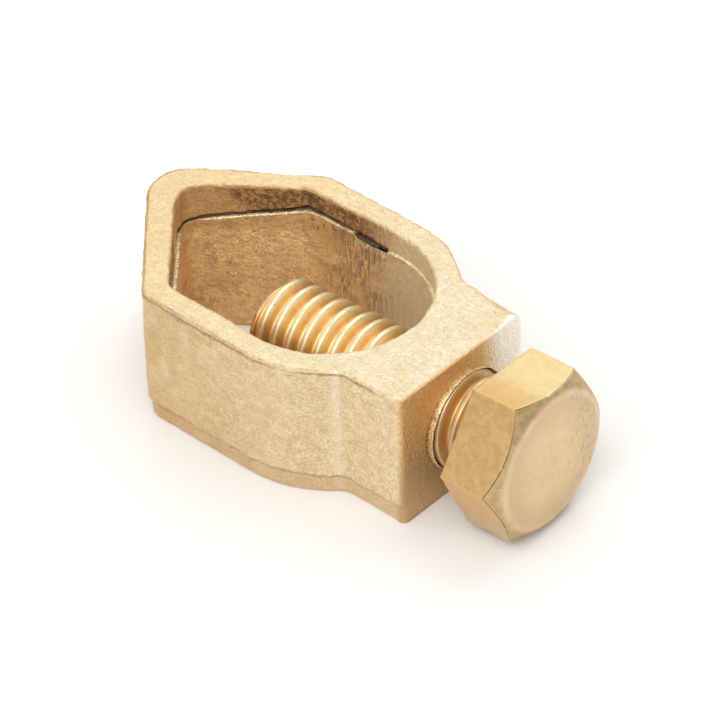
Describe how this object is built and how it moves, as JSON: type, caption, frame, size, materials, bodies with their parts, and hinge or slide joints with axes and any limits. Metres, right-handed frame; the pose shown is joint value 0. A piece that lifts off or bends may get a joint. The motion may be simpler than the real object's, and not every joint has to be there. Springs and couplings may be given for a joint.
{
  "type": "ground clamp",
  "caption": "Cast brass ground rod clamp: a ring with a V seat and a boss, closed on the rod by a hex head bolt threaded through the boss.",
  "frame": {"origin": "middle of the clamp's bounding box in plan, on the base plane that it lies on", "axes": "+X along the bolt's side, from the V seat to the bolt head; +Z along the rod, up through the ring"},
  "size_m": [0.0482, 0.0234, 0.0151],
  "materials": {
    "cast_brass": "sand-cast, rough, lightly oxidised inside the ring",
    "turned_brass": "machined satin"
  },
  "bodies": {
    "body": {"clamp_body": "cast_brass"},
    "bolt_travel": {"bolt_point": "turned_brass"},
    "bolt": {"clamp_bolt": "turned_brass"}
  },
  "joints": [
    {"name": "bolt_advance", "type": "slide", "parent": "body", "child": "bolt_travel", "axis": [0.9989, 0.0419, 0.0192], "range_m": [-0.00238, 0.01588]},
    {"name": "bolt_turn", "type": "hinge", "parent": "bolt_travel", "child": "bolt", "pos_m": [0.01788, 0.00047, 0.00753], "axis": [0.9989, 0.0419, 0.0192], "range_deg": [-540, 3600]}
  ],
  "couplings": [
    {"joint": "bolt_advance", "follows": "bolt_turn", "m_per_rad": 0.00025266}
  ]
}
